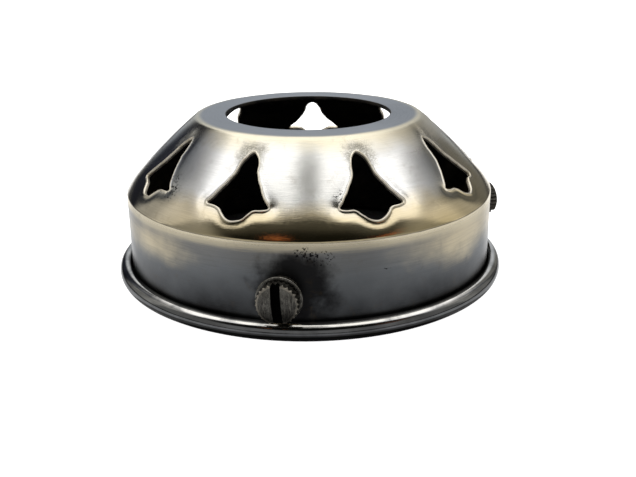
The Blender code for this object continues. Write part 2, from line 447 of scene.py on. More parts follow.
class Shell:
    """The sheet as a grid of rows round the axis, opened where the vents and the bush holes are."""

    def __init__(self, section, openings):
        self.section = section
        self.openings = openings
        self.theta = np.arange(AROUND) / AROUND * math.tau
        self.grid = [part.ravel() for part in np.meshgrid(self.theta, section.s)]
        self.curl_s = section.s_at_skirt(CURL_Z)
        self.moved = self.relief(*self.grid).reshape(-1, AROUND)
        self.points, self.faces, self.finish = [], [], []
        self.count = 0

    def relief(self, theta, s):
        """How far the wall stands out of its section at each place, in millimetres."""
        moved = waviness(theta, s) - 0.03
        moved *= np.clip(s / 3.0, 0, 1) * np.clip((self.curl_s - s) / 3.0, 0, 1)
        for opening in self.openings:
            near = opening.near(theta, s, DENT_REACH)
            if near.any():
                flat = opening.to_flat(theta[near], s[near])
                moved[near] += opening.push(flat, distance_outside(flat, opening.loop))
        return np.minimum(moved, MOST_RAISED)

    def add_points(self, theta, r, h, nr, nh, moved):
        """Points moved out of the section along its normals; gives the first one's index."""
        first = self.count
        r, h = r + nr * moved, h + nh * moved
        self.points.append(np.stack([r * np.cos(theta), r * np.sin(theta), h], axis=-1))
        self.count += len(theta)
        return first

    def add_faces(self, faces, finish):
        self.faces += faces
        self.finish += [finish] * len(faces)

    def build(self):
        section = self.section
        for row, s in zip(section.rows, section.row_s):
            j = int(np.searchsorted(section.s, s - 1e-9))
            self.add_points(self.theta, *row, self.moved[j])
        opened = np.zeros((section.count - 1, AROUND), bool)
        for opening in self.openings:
            self.pierce(opening, opened)
        for m, after in ring_pairs(len(section.rows)):
            cell = m if m < section.count else section.inner_row(m) - 1
            shut = ~opened[cell] if 0 <= cell < len(opened) else np.ones(AROUND, bool)
            finish = OUTSIDE if m < len(opened) else INSIDE
            if min(section.row_s[m], section.row_s[after]) > self.curl_s + CURL_FROM:
                finish = CURL
            self.add_faces([
                (m * AROUND + i, after * AROUND + i, after * AROUND + n, m * AROUND + n)
                for i, n in ring_pairs(AROUND) if shut[i]
            ], finish)
        return self.without_spare_points()

    def without_spare_points(self):
        points = np.concatenate(self.points)
        used = np.unique(np.concatenate([np.array(face) for face in self.faces]))
        new_index = np.full(len(points), -1)
        new_index[used] = np.arange(len(used))
        faces = [tuple(int(new_index[v]) for v in face) for face in self.faces]
        return points[used], faces, self.finish

    def pierce(self, opening, opened):
        """Opens the grid round one opening and fills in between its edge and the grid."""
        guard = EDGE_OFFSETS[-1] + GRID_GUARD
        theta, s = self.grid
        near = opening.near(theta, s, guard + 0.1)
        blocked = np.zeros(theta.size, bool)
        blocked[near] = distance_outside(opening.to_flat(theta[near], s[near]), opening.loop) < guard
        blocked = blocked.reshape(-1, AROUND)
        corner = blocked | np.roll(blocked, -1, axis=1)
        cells = corner[:-1] | corner[1:]
        opened |= cells
        self.fill(opening, cells, self.add_rings(opening), *free_corners(cells, blocked))

    def add_rings(self, opening):
        """Rings from the cut edge outwards, on both faces; gives the first points of the last two."""
        loop = opening.loop
        starts = []
        for offset in EDGE_OFFSETS:
            theta, s = opening.to_wall(loop + loop_normals(loop) * offset)
            moved = self.relief(theta, s)
            short = max(VENT_EDGE_R - offset, 0.0)
            depth = VENT_EDGE_R - math.sqrt(VENT_EDGE_R**2 - short**2)
            wall = self.section.at(s)
            starts.append([self.add_points(theta, *wall, moved - d) for d in (depth, SHEET - depth)])
        turns = ring_pairs(len(loop))
        for offset, (a, c), (b, d) in zip(EDGE_OFFSETS[1:], starts, starts[1:]):
            outer, inner = (CUT_EDGE, CUT_EDGE) if offset <= BURR_WIDTH else (OUTSIDE, INSIDE)
            self.add_faces([(a + q, a + p, b + p, b + q) for q, p in turns], outer)
            self.add_faces([(c + q, d + q, d + p, c + p) for q, p in turns], inner)
        a, c = starts[0]
        self.add_faces([(a + p, a + q, c + q, c + p) for q, p in turns], CUT_EDGE)
        return starts[-1]

    def fill(self, opening, cells, last_rings, spots, edges):
        """Triangles between an opening's last rings and the grid, alike on both faces."""
        section, turn, loop = self.section, opening.turn, opening.loop
        scale = float(section.at(opening.start + loop[:, 1].mean())[0])
        last = opening.to_wall(loop + loop_normals(loop) * EDGE_OFFSETS[-1])
        unrolled = [Vector((swing_from(turn, self.theta[i]) * scale, section.s[j])) for j, i in spots]
        unrolled += [Vector(((theta - turn) * scale, s)) for theta, s in zip(*last)]
        edges += [(len(spots) + q, len(spots) + p) for q, p in ring_pairs(len(loop))]
        made, _, triangles, origin, _, _ = delaunay_2d_cdt(unrolled, edges, [], 0, 1e-6)
        ring_loop = np.array([tuple(v) for v in unrolled[len(spots):]])
        centres = np.array([sum((made[v] for v in tri), Vector((0, 0))) / 3 for tri in triangles])
        outside = distance_outside(centres, ring_loop) > 0
        rows = np.searchsorted(section.s, centres[:, 1]) - 1
        columns = np.floor((centres[:, 0] / scale + turn) % math.tau / math.tau * AROUND).astype(int) % AROUND
        outer, inner = ([first + q for q in range(len(loop))] for first in last_rings)
        outer = [j * AROUND + i for j, i in spots] + outer
        inner = [section.inner_row(j) * AROUND + i for j, i in spots] + inner
        outer_faces, inner_faces = [], []
        for tri, free, j, i in zip(triangles, outside, rows, columns):
            if not free or not (0 <= j < len(cells)) or not cells[j, i]:
                continue
            a, b, c = (made[v] for v in tri)
            if (b - a).cross(c - a) < 0:
                tri = tri[::-1]
            sources = [origin[v][0] for v in tri]
            outer_faces.append(tuple(outer[v] for v in sources[::-1]))
            inner_faces.append(tuple(inner[v] for v in sources))
        self.add_faces(outer_faces, OUTSIDE)
        self.add_faces(inner_faces, INSIDE)


def make_shell(stations, materials):
    section = Section()
    dice = np.random.RandomState(11)
    openings = [
        Vent(section, math.pi / 2 + math.tau * k / VENT_COUNT + math.radians(stray), dice)
        for k, stray in enumerate(VENT_STRAY_DEG)
    ]
    for station in stations.values():
        openings.append(BushHole(section, station["turn"], station["height"]))
    points, faces, finish = Shell(section, openings).build()
    return new_piece("spun_shell", in_row_frame(points), faces, materials, finish)


# ---- turned pieces

def revolve(profile, columns):
    """A closed (r, z) profile turned about Z, as points and faces. It runs up the outside."""
    around = np.arange(columns) / columns * math.tau
    r, z = np.array(profile, float).T[:, :, None]
    points = np.stack([r * np.cos(around), r * np.sin(around), z + 0 * around], axis=-1)
    faces = [
        (j * columns + i, j * columns + n, k * columns + n, k * columns + i)
        for j, k in ring_pairs(len(profile)) for i, n in ring_pairs(columns)
    ]
    return points.reshape(-1, 3), faces


def rounded(corners, radii, steps=4):
    """A closed polygon with each corner rounded by its own radius."""
    points = []
    for i, (corner, radius) in enumerate(zip(corners, radii)):
        corner = Vector(corner)
        before = (Vector(corners[i - 1]) - corner).normalized()
        after = (Vector(corners[(i + 1) % len(corners)]) - corner).normalized()
        half = before.angle(after) / 2
        centre = corner + (before + after).normalized() * radius / math.sin(half)
        first = corner + before * radius / math.tan(half) - centre
        last = corner + after * radius / math.tan(half) - centre
        for step in range(steps + 1):
            points.append(tuple(centre + radius * first.slerp(last, step / steps)))
    return points


def at_station(points, station):
    """Points along a screw's own axis (x right, y up, z out), as metres in the row frame."""
    matrix = np.array(station["matrix"])
    return (np.array(points) @ matrix[:3, :3].T) * MM + matrix[:3, 3]


def make_turned(name, profile, columns, station, material):
    points, faces = revolve(profile, columns)
    return new_piece(name, at_station(points, station), faces, [material])


def make_bush(name, station, material):
    """A collar inside the skirt, with a barrel through it; z is measured from the gallery's axis."""
    shoulder = math.sqrt((SKIRT_R - SHEET) ** 2 - BUSH_R**2) - BUSH_GAP
    corners = [
        (BUSH_BORE_R, BUSH_INNER), (BUSH_R, BUSH_INNER), (BUSH_R, shoulder), (BUSH_BARREL_R, shoulder),
        (BUSH_BARREL_R, SKIRT_R), (BUSH_BORE_R, SKIRT_R),
    ]
    profile = rounded(corners, (0.12, 0.22, 0.1, 0.08, 0.1, 0.1))
    # Thread grooves in the bore
    bore = np.linspace(SKIRT_R - 0.2, BUSH_INNER + 0.2, 61)
    profile += [(BUSH_BORE_R + BUSH_THREAD_DEPTH * math.sin(math.tau * z / PITCH) ** 2, z) for z in bore]
    profile = [(r, z - station["back"]) for r, z in profile]
    return make_turned(name, profile, 72, station, material)


def make_washer(name, station, material):
    corners = [(WASHER_BORE_R, 0), (WASHER_R, 0), (WASHER_R, WASHER_THICK), (WASHER_BORE_R, WASHER_THICK)]
    profile = rounded(corners, (0.1, 0.22, 0.26, 0.14), 6)
    return make_turned(name, profile, 96, station, material)


def add_ring(builder, radii, z, count):
    """A ring of vertices at height z. The radii are one for all of them, or one for each."""
    angles = np.arange(count) / count * math.tau
    spots = zip(np.broadcast_to(radii, count), angles)
    return [builder.verts.new((r * math.cos(a), r * math.sin(a), z)) for r, a in spots]


def join_rings(builder, lower, upper):
    """Faces between two rings; the upper one may have several times as many points, or be one point."""
    ratio = max(1, len(upper) // len(lower))
    for i, after in ring_pairs(len(lower)):
        a, b = lower[i], lower[after]
        if len(upper) == 1:
            builder.faces.new((a, b, upper[0]))
            continue
        span = [upper[(i * ratio + k) % len(upper)] for k in range(ratio + 1)]
        if ratio == 1:
            builder.faces.new((a, b, span[1], span[0]))
            continue
        half = ratio // 2
        for k in range(ratio):
            builder.faces.new((a if k < half else b, span[k + 1], span[k]))
        builder.faces.new((a, b, span[half]))


def dome(radius):
    """Height of the head's face above its rim."""
    return DOME_RISE * (1 - min(radius / (HEAD_R - 0.25), 1.0) ** 2)


def thread_radii(z):
    """Radii round the shank: a V groove that climbs one pitch for each turn, and a chamfered tip."""
    from_tip = z + REACH
    fade = min(1.0, max(0.0, from_tip / 0.5)) * min(1.0, max(0.0, (HEAD_BACK - 0.5 - z) / 0.4))
    chamfer = max(0.0, TIP_CHAMFER - from_tip)
    phase = (z / PITCH - np.arange(SHANK_COLUMNS) / SHANK_COLUMNS) % 1.0
    groove = 1 - np.abs(2 * phase - 1)
    return THREAD_R - chamfer - THREAD_DEPTH * fade * groove


def toothed_radii(outer, share):
    """Radii round the head; share is how deep the teeth are there."""
    angles = np.arange(HEAD_COLUMNS) / HEAD_COLUMNS * math.tau
    valley = (0.5 - 0.5 * np.cos(TOOTH_COUNT * angles)) ** 0.8
    return outer - TOOTH_DEPTH * share * valley


def screw_body():
    """The whole screw before its slot is cut."""
    tip, back, rim = -REACH, HEAD_BACK, HEAD_RIM
    builder = bmesh.new()
    rings = [add_ring(builder, THREAD_R - TIP_CHAMFER, tip, SHANK_COLUMNS)]
    centre = builder.verts.new((0, 0, tip))
    for i, after in ring_pairs(SHANK_COLUMNS):
        builder.faces.new((rings[0][after], rings[0][i], centre))
    for z in np.arange(tip + THREAD_STEP, back - 0.05, THREAD_STEP):
        rings.append(add_ring(builder, thread_radii(z), z, SHANK_COLUMNS))
    rings.append(add_ring(builder, THREAD_R, back - 0.02, SHANK_COLUMNS))
    rings.append(add_ring(builder, THREAD_R + 0.1, back, SHANK_COLUMNS))
    for inset, share, z in (
        (0.5, 0.0, back), (0.22, 0.2, back + 0.02), (0.08, 0.6, back + 0.1), (0.0, 1.0, back + 0.26),
        (0.0, 1.0, back + 0.7), (0.0, 1.0, back + 1.1), (0.0, 1.0, rim - 0.27), (0.05, 0.95, rim - 0.16),
        (0.15, 0.75, rim - 0.06), (0.27, 0.45, rim - 0.005),
    ):
        rings.append(add_ring(builder, toothed_radii(HEAD_R - inset, share), z, HEAD_COLUMNS))
    for share in (0.93, 0.86, 0.78, 0.7, 0.62, 0.54, 0.46, 0.38, 0.3, 0.22, 0.14, 0.07):
        r = HEAD_R * share
        rings.append(add_ring(builder, r, rim + dome(r), HEAD_COLUMNS))
    rings.append([builder.verts.new((0, 0, rim + DOME_RISE))])
    for lower, upper in zip(rings, rings[1:]):
        join_rings(builder, lower, upper)
    return builder


def slot_cutter():
    """A long cutter whose sides open out at the face, so that the slot's edges are broken."""
    half = SLOT_WIDTH / 2
    opened = half + 3 * SLOT_BREAK
    builder = bmesh.new()
    sections = []
    for y in np.linspace(-1.3 * HEAD_R, 1.3 * HEAD_R, 45):
        face = HEAD_RIM + dome(abs(y))
        right = [
            (half - SLOT_CORNER, SLOT_FLOOR), (half, SLOT_FLOOR + SLOT_CORNER), (half, face - SLOT_BREAK),
            (opened, face + 2 * SLOT_BREAK), (opened, HEAD_RIM + 2),
        ]
        left = [(-x, z) for x, z in right[::-1]]
        outline = [left[-1], *right, *left[:-1]]
        sections.append([builder.verts.new((x, y, z)) for x, z in outline])
    for near, far in zip(sections, sections[1:]):
        for i, k in ring_pairs(len(near)):
            builder.faces.new((near[i], near[k], far[k], far[i]))
    builder.faces.new(sections[0][::-1])
    builder.faces.new(sections[-1])
    bmesh.ops.recalc_face_normals(builder, faces=builder.faces)
    return builder


def object_from(builder, name):
    mesh = bpy.data.meshes.new(name)
    builder.to_mesh(mesh)
    builder.free()
    return add_object(name, mesh)


def slotted_screw():
    """Points and faces of a screw with its slot along Y."""
    body = object_from(screw_body(), "screw_body")
    cutter = object_from(slot_cutter(), "slot_cutter")
    cut = body.modifiers.new("slot", "BOOLEAN")
    cut.operation = "DIFFERENCE"
    cut.object = cutter
    cut.solver = "EXACT"
    graph = bpy.context.evaluated_depsgraph_get()
    mesh = bpy.data.meshes.new_from_object(body.evaluated_get(graph), depsgraph=graph)
    points = np.array([tuple(v.co) for v in mesh.vertices])
    faces = [tuple(p.vertices) for p in mesh.polygons]
    for obj in (body, cutter):
        bpy.data.objects.remove(obj, do_unlink=True)
    return points, faces


def make_screw(name, station, turn_deg, shape, material):
    points, faces = shape
    turn = np.array(Matrix.Rotation(math.radians(turn_deg), 3, "Z"))
    screw = new_piece(name, at_station(points @ turn.T, station), faces, [material])
    screw.data.set_sharp_from_angle(angle=math.radians(SHARP_EDGE_DEG))
    # Each point's place in the head, turned with the slot, lets the finish follow the tool marks.
    local = screw.data.attributes.new("screw_place", "FLOAT_VECTOR", "POINT")
    local.data.foreach_set("vector", points.astype(np.float32).ravel())
    return screw


def find_stations():
    """Where each screw stands: its axis, outward, and the back of its washer."""
    stations = {}
    for joint in frame["joints"]:
        if joint["type"] != "hinge":
            continue
        out, place = Vector(joint["axis"]).normalized(), Vector(joint["pos_m"])
        up = Vector((0, 0, 1))
        stations[joint["child"].removeprefix("screw_")] = {
            "matrix": axes_at((up.cross(out), up, out), place),
            "turn": math.atan2(out.y, out.x),
            "height": place.z / MM + TOP_Z,
            "back": place.dot(out) / MM,
        }
    return stations


# ---- materials

class Wiring:
    """Short calls for the nodes of one material or world."""

    def __init__(self, owner):
        owner.use_nodes = True
        self.owner = owner
        self.tree = owner.node_tree
        self.shader = self.tree.nodes.get("Principled BSDF")

    def set(self, socket, value):
        if isinstance(value, bpy.types.NodeSocket):
            self.tree.links.new(value, socket)
        elif isinstance(value, tuple) and len(value) < len(socket.default_value):
            socket.default_value = (*value, 1.0)
        else:
            socket.default_value = value

    def node(self, kind, inputs, **settings):
        made = self.tree.nodes.new("ShaderNode" + kind)
        for key, value in settings.items():
            setattr(made, key, value)
        for key, value in inputs.items():
            self.set(made.inputs[key], value)
        return made

    def maths(self, operation, *values):
        return self.node("Math", dict(enumerate(values)), operation=operation).outputs[0]

    def add(self, total, *values):
        for value in values:
            total = self.maths("ADD", total, value)
        return total

    def most(self, most, *values):
        for value in values:
            most = self.maths("MAXIMUM", most, value)
        return most

    def times(self, a, b):
        return self.maths("MULTIPLY", a, b)

    def length(self, a, b):
        return self.maths("SQRT", self.add(self.times(a, a), self.times(b, b)))

    def sway(self, noise, size):
        """Noise made to swing evenly to both sides of nought."""
        return self.times(self.add(noise, -0.5), size)

    def step(self, value, low, high):
        """0 below low and 1 above high, smoothly, or the other way round where low is the larger."""
        inputs = {"Value": value, "From Min": low, "From Max": high}
        return self.node("MapRange", inputs, interpolation_type="SMOOTHSTEP").outputs[0]

    def vector(self, x, y, z):
        return self.node("CombineXYZ", {0: x, 1: y, 2: z}).outputs[0]

    def split(self, vector):
        return self.node("SeparateXYZ", {0: vector}).outputs

    def distance(self, a, b):
        return self.node("VectorMath", {0: a, 1: b}, operation="DISTANCE").outputs["Value"]

    def coordinates(self, kind):
        return self.node("TexCoord", {}).outputs[kind]

    def place(self):
        """Each point's place in the row frame, in millimetres."""
        inputs = {0: self.coordinates("Object"), "Scale": 1 / MM}
        return self.node("VectorMath", inputs, operation="SCALE").outputs[0]

    def noise(self, vector, scale, detail, roughness, distortion=0.0):
        inputs = {"Vector": vector, "Scale": scale, "Detail": detail, "Roughness": roughness}
        return self.node("TexNoise", {**inputs, "Distortion": distortion}).outputs[0]

    def ramp(self, value, stops):
        made = self.node("ValToRGB", {0: value})
        ramp = made.color_ramp
        while len(ramp.elements) < len(stops):
            ramp.elements.new(0.5)
        for element, (position, colour) in zip(ramp.elements, stops):
            element.position = position
            element.color = (*colour, 1.0)
        return made.outputs[0]

    def mix(self, factor, a, b, blend="MIX"):
        inputs = {0: factor, 6: a, 7: b}
        return self.node("Mix", inputs, data_type="RGBA", blend_type=blend).outputs[2]

    def finish(self, colour, rough, height, depth, strength):
        """The material, with its colour, roughness and bumps wired up; depth is in metres."""
        inputs = {"Height": height, "Distance": depth, "Strength": strength}
        normal = self.node("Bump", inputs).outputs[0]
        for name, value in (("Base Color", colour), ("Roughness", rough), ("Normal", normal)):
            self.set(self.shader.inputs[name], value)
        return self.owner


def new_material(name, **constants):
    """The wiring of a material whose constant values are set on its shader's own sockets."""
    w = Wiring(bpy.data.materials.new(name))
    for key, value in constants.items():
        w.set(w.shader.inputs[key.replace("_", " ")], value)
    return w


SILVER = (0.74, 0.73, 0.71)
PALE_GOLD = (0.64, 0.55, 0.38)
GOLD = (0.50, 0.41, 0.24)
EDGE_GOLD = (0.72, 0.66, 0.52)
BLUE_GREY_PATINA_AND_REFLECTION = (0.27, 0.29, 0.325)
OXIDE = (0.012, 0.011, 0.012)
BROWN = (0.16, 0.105, 0.045)
# Patches where the patina stayed golden: direction from the axis in degrees, height, half widths
GOLD_PATCHES = (
    (-34.0, 12.4, 24.0, 3.6), (-141.0, 11.4, 16.0, 2.7), (60.0, 12.0, 26.0, 3.0), (150.0, 12.0, 20.0, 3.0),
)
# Clusters of small black pits, wider than tall: direction in degrees, height, half width at PIT_R
PIT_PATCHES = (
    (-90.0, 13.3, 2.0), (-86.0, 12.8, 2.0), (-139.5, 19.8, 3.0), (-78.0, 20.2, 2.0), (-67.6, 10.4, 0.5),
    (24.0, 12.0, 1.0),
)
PIT_R = 30.0
PIT_FLATNESS = 1.6
# How far the darkening at a screw lies to the side of it and above it
BLOT_ASIDE = 1.8
BLOT_ABOVE = 0.2


def wall_places(w, place):
    """Distance from the axis, height above the rim, and coordinates along the marks of spinning."""
    x, y, z = w.split(place)
    r = w.length(x, y)
    h = w.add(z, TOP_Z)
    down = w.times(w.maths("SUBTRACT", h, r), 0.9)
    return r, h, w.vector(w.maths("DIVIDE", x, r), w.maths("DIVIDE", y, r), down)


def away_from(w, around, h, angle, height, wide, tall):
    """Distance along the wall from a place at an angle in degrees and a height, with each way scaled."""
    swing = w.maths("ARCCOSINE", w.maths("COSINE", w.add(around, -math.radians(angle))))
    return w.length(w.times(swing, wide), w.times(w.add(h, -height), tall))


def skirt_colour(w, h, around, cloud, drift, mottle, streak):
    """A gold line under the crease, partly edge wear and partly a painted highlight along the crease; then
    blue grey, darkening to near black above the curl, partly patina and partly a painted dark reflection of
    the floor.
    """
    uneven = w.add(h, w.sway(cloud, 7.0), w.sway(drift, 5.0), w.sway(streak, 1.8))
    # The fall from blue grey to near black towards the curl is partly patina and partly a painted dark
    # reflection of the floor.
    skirt = w.ramp(w.maths("DIVIDE", uneven, 18.0), (
        (0.05, OXIDE), (0.14, (0.034, 0.034, 0.036)), (0.27, (0.10, 0.104, 0.11)),
        (0.52, (0.215, 0.225, 0.235)), (0.76, (0.29, 0.285, 0.275)),
    ))
    for angle, height, half_angle, half_height in GOLD_PATCHES:
        away = away_from(w, around, h, angle, height, 1 / math.radians(half_angle), 1 / half_height)
        away = w.add(away, w.sway(mottle, 0.35), w.sway(cloud, 1.5), w.sway(streak, 0.4))
        skirt = w.mix(w.times(w.step(away, 1.5, 0.1), 0.95), skirt, (0.76, 0.66, 0.47))
    # The pale gold band under the crease is partly edge wear and partly a painted highlight along the crease.
    under_crease = w.step(w.add(h, w.sway(streak, 1.6)), 13.2, 14.5)
    return w.mix(w.times(under_crease, 0.9), skirt, (0.84, 0.74, 0.54))


def shoulder_colour(w, x, h, cloud, drift):
    """Silver, with gold towards both its edges; warmer to the right as a painted warm highlight, and blue
    grey to the left as a painted cool reflection.
    """
    shoulder = w.ramp(w.maths("DIVIDE", w.add(h, w.sway(cloud, 4.0), -14.0), 14.0), (
        (0.10, GOLD), (0.29, PALE_GOLD), (0.46, SILVER), (0.80, SILVER), (0.95, EDGE_GOLD),
    ))
    # Warmer towards the right: a painted warm highlight on one side.
    warm = w.step(w.add(w.times(drift, 1.4), w.times(x, 0.014)), 0.75, 1.25)
    shoulder = w.mix(w.times(warm, 0.8), shoulder, PALE_GOLD)
    # Blue grey towards the left: a painted cool reflection on one side.
    return w.mix(w.times(w.step(x, -8.0, -30.0), 0.45), shoulder, (0.42, 0.44, 0.48))


def darker_round_vent_tips(w, x, r, h, around, mottle):
    """Where the shoulder is darker and duller round each vent's tip and down the side that faces away from
    the front.
    """
    turned = w.times(w.add(around, -math.pi / 2), VENT_COUNT)
    across = w.times(w.times(w.maths("ARCCOSINE", w.maths("COSINE", turned)), 1 / VENT_COUNT), r)
    facing_away = w.step(w.times(w.maths("SINE", turned), x), -3.0, 3.0)
    across = w.add(across, w.times(facing_away, -1.7), w.sway(mottle, 3.0))
    tip_zone = w.times(w.step(h, 23.0, 25.0), w.step(h, 27.5, 26.2))
    return w.times(w.step(across, 2.3, 0.3), tip_zone)


def dark_blots_round_screws(w, place, h, stations):
    """Darker round each screw, set a little to its side and above it."""
    ragged = w.noise(place, 0.26, 5.0, 0.6)
    blots = []
    for station in stations.values():
        aside, _, out, _ = station["matrix"].col
        x, y = (out[k] * SKIRT_R + aside[k] * BLOT_ASIDE for k in (0, 1))
        away = w.distance(place, (x, y, station["height"] - TOP_Z + BLOT_ABOVE))
        blots.append(w.step(w.add(away, w.sway(ragged, 8.0)), 8.0, 3.6))
    return w.times(w.most(*blots), w.step(h, 14.3, 13.2))


def pits_in_wall(w, place, h, around, mottle):
    """Oxide left in clusters of small pits."""
    pits = w.step(w.noise(place, 2.8, 2.0, 0.55), 0.57, 0.61)
    patches = []
    for angle, height, half_width in PIT_PATCHES:
        away = away_from(w, around, h, angle, height, PIT_R / half_width, PIT_FLATNESS / half_width)
        patches.append(w.step(w.add(away, w.sway(mottle, 1.2)), 1.15, 0.7))
    return w.times(w.most(*patches), pits)


def make_shell_brass(stations):
    w = new_material(
        "antique_brass_outside", Metallic=1.0, Anisotropic=0.55, Anisotropic_Rotation=0.25
    )
    place = w.place()
    r, h, grain = wall_places(w, place)
    x, y, _ = w.split(place)
    around = w.maths("ARCTAN2", y, x)
    cloud = w.noise(place, 0.11, 4.0, 0.55)
    drift = w.noise(place, 0.045, 2.0, 0.5)
    mottle = w.noise(place, 0.45, 5.0, 0.6, 0.6)
    streak = w.noise(grain, 6.0, 6.0, 0.65)
    hair = w.noise(grain, 22.0, 4.0, 0.7)

    skirt = skirt_colour(w, h, around, cloud, drift, mottle, streak)
    shoulder = shoulder_colour(w, x, h, cloud, drift)
    vent_tip_darkening = darker_round_vent_tips(w, x, r, h, around, mottle)
    grit = w.step(w.noise(place, 4.5, 3.0, 0.65), 0.32, 0.62)
    # Darker, duller metal round each vent's tip and down its side away from the front.
    shoulder = w.mix(w.times(vent_tip_darkening, grit), shoulder, (0.33, 0.31, 0.26))
    # The top is blue grey, partly patina and partly a painted cool reflection of a window; its bend is gold.
    top = w.mix(w.step(r, 18.2, 19.4), BLUE_GREY_PATINA_AND_REFLECTION, EDGE_GOLD)
    colour = w.mix(w.step(h, 15.0, 15.4), skirt, shoulder)
    colour = w.mix(w.step(h, 27.0, 27.75), colour, top)
    screw_blots = dark_blots_round_screws(w, place, h, stations)
    # Darker round each screw.
    colour = w.mix(w.times(screw_blots, 0.92), colour, OXIDE)
    speck = pits_in_wall(w, place, h, around, mottle)
    colour = w.mix(speck, colour, OXIDE)
    colour = w.mix(w.times(w.step(mottle, 0.55, 0.8), 0.22), colour, BROWN)
    dulled = w.mix(1.0, colour, (0.5, 0.5, 0.5), "MULTIPLY")
    colour = w.mix(w.times(w.step(streak, 0.35, 0.75), 0.22), colour, dulled)

    rough = w.add(0.18, w.sway(streak, 0.10), w.sway(cloud, 0.10))
    polished = w.times(w.step(h, 20.4, 18.0), w.step(h, 14.9, 15.3))
    satin = w.most(w.step(h, 15.0, 14.4), w.step(h, 27.6, 27.8))
    brushed = w.times(w.step(x, 5.0, 13.0), w.step(h, 23.6, 25.8))
    matt = w.most(vent_tip_darkening, brushed)
    rough = w.add(rough, w.times(polished, -0.10), w.times(satin, 0.13))
    rough = w.add(rough, w.times(screw_blots, 0.16), w.times(matt, 0.2))
    height = w.add(w.times(hair, 0.5), w.times(streak, 0.5), w.times(speck, -0.8))
    tangent = w.node("Tangent", {}, direction_type="RADIAL", axis="Z")
    w.set(w.shader.inputs["Tangent"], tangent.outputs[0])
    return w.finish(colour, w.most(rough, 0.06), height, 0.000012, 0.6)


def make_shell_curl():
    """The curled rim, rubbed smooth by standing and handling, its crown painted pale: partly wear and partly
    a painted highlight.
    """
    w = new_material("antique_brass_curl", Metallic=1.0)
    place = w.place()
    r, h, grain = wall_places(w, place)
    cloud = w.noise(place, 0.25, 4.0, 0.6)
    streak = w.noise(grain, 7.0, 5.0, 0.6)
    colour = w.mix(w.step(cloud, 0.35, 0.7), (0.17, 0.172, 0.175), (0.11, 0.11, 0.112))
    # The crown is painted pale: partly wear and partly a painted highlight line.
    worn = w.step(w.add(h, w.sway(streak, 0.35)), 2.5, 2.68)
    colour = w.mix(w.times(worn, w.step(cloud, 0.15, 0.6)), colour, (0.66, 0.64, 0.61))
    colour = w.mix(w.step(w.add(r, w.sway(streak, 0.5)), 32.9, 32.4), colour, OXIDE)
    return w.finish(colour, w.add(0.05, w.times(streak, 0.1)), w.add(streak, cloud), 0.00001, 0.5)


def make_shell_inside():
    """The inside, rough: near black, with brown and a little bare brass."""
    w = new_material("antique_brass_inside", Metallic=0.85)
    place = w.place()
    grain = wall_places(w, place)[-1]
    cloud = w.noise(place, 0.2, 5.0, 0.6)
    streak = w.noise(grain, 5.0, 5.0, 0.6)
    colour = w.mix(w.step(cloud, 0.35, 0.75), (0.012, 0.011, 0.011), (0.05, 0.042, 0.032))
    colour = w.mix(w.times(w.step(streak, 0.55, 0.8), 0.35), colour, (0.11, 0.09, 0.055))
    height = w.add(streak, w.times(cloud, 0.4))
    return w.finish(colour, w.add(0.34, w.times(cloud, 0.25)), height, 0.00003, 0.8)


def make_cut_edge():
    """Edges where the sheet was cut: bare pale brass, lightly scratched."""
    w = new_material("cut_brass_edge", Metallic=1.0)
    place = w.place()
    cloud = w.noise(place, 0.7, 4.0, 0.6)
    file_marks = w.noise(place, 5.0, 4.0, 0.7)
    colour = w.mix(w.step(cloud, 0.45, 0.75), (0.78, 0.72, 0.61), (0.52, 0.46, 0.35))
    return w.finish(colour, w.add(0.30, w.times(file_marks, 0.2)), file_marks, 0.00003, 0.6)


def make_dark_bronze(name, tool_marks):
    """Darkened bronze whose raised edges have worn bright."""
    w = new_material(name, Metallic=1.0)
    if tool_marks:
        place = w.node("Attribute", {}, attribute_name="screw_place").outputs["Vector"]
    else:
        place = w.place()
    x, y, z = w.split(place)
    marks = w.noise(w.vector(w.times(x, 3.2), w.times(y, 0.35), w.times(z, 0.6)), 2.2, 5.0, 0.65)
    cloud = w.noise(place, 0.6, 4.0, 0.6)
    colour = w.mix(w.step(cloud, 0.35, 0.7), (0.07, 0.066, 0.058), (0.19, 0.183, 0.165))
    colour = w.mix(w.times(w.step(marks, 0.48, 0.62), 0.6), colour, (0.32, 0.30, 0.265))
    cracks = w.noise(w.vector(w.times(x, 2.2), w.times(y, 0.8), z), 1.3, 4.0, 0.7, 1.2)
    cracked = w.step(w.maths("ABSOLUTE", w.add(cracks, -0.5)), 0.03, 0.0)
    colour = w.mix(w.times(cracked, 0.8), colour, OXIDE)
    rough = w.add(0.14, w.times(cloud, 0.2))
    if tool_marks:
        r, rim = w.length(x, y), HEAD_RIM
        knurl = w.times(w.step(r, HEAD_R - 0.5, HEAD_R - 0.4), w.step(z, rim - 0.05, rim - 0.2))
        colour = w.mix(w.times(knurl, 0.6), colour, (0.03, 0.026, 0.022))
        edge = w.times(w.step(r, HEAD_R - 0.52, HEAD_R - 0.38), w.step(z, rim - 0.26, rim - 0.1))
        colour = w.mix(w.times(edge, w.step(cloud, 0.3, 0.6)), colour, (0.34, 0.31, 0.26))
        # The slot is painted near black: partly oxide, partly painted shade in the recess.
        across = w.step(w.maths("ABSOLUTE", x), SLOT_WIDTH / 2 + 0.02, SLOT_WIDTH / 2)
        in_slot = w.times(across, w.step(z, SLOT_FLOOR - 0.06, SLOT_FLOOR - 0.02))
        colour = w.mix(in_slot, colour, (0.004, 0.004, 0.004))
        rough = w.add(0.26, w.times(cloud, 0.22), w.times(in_slot, 0.4))
    return w.finish(colour, rough, w.add(marks, w.times(cloud, 0.3)), 0.00004, 0.8)


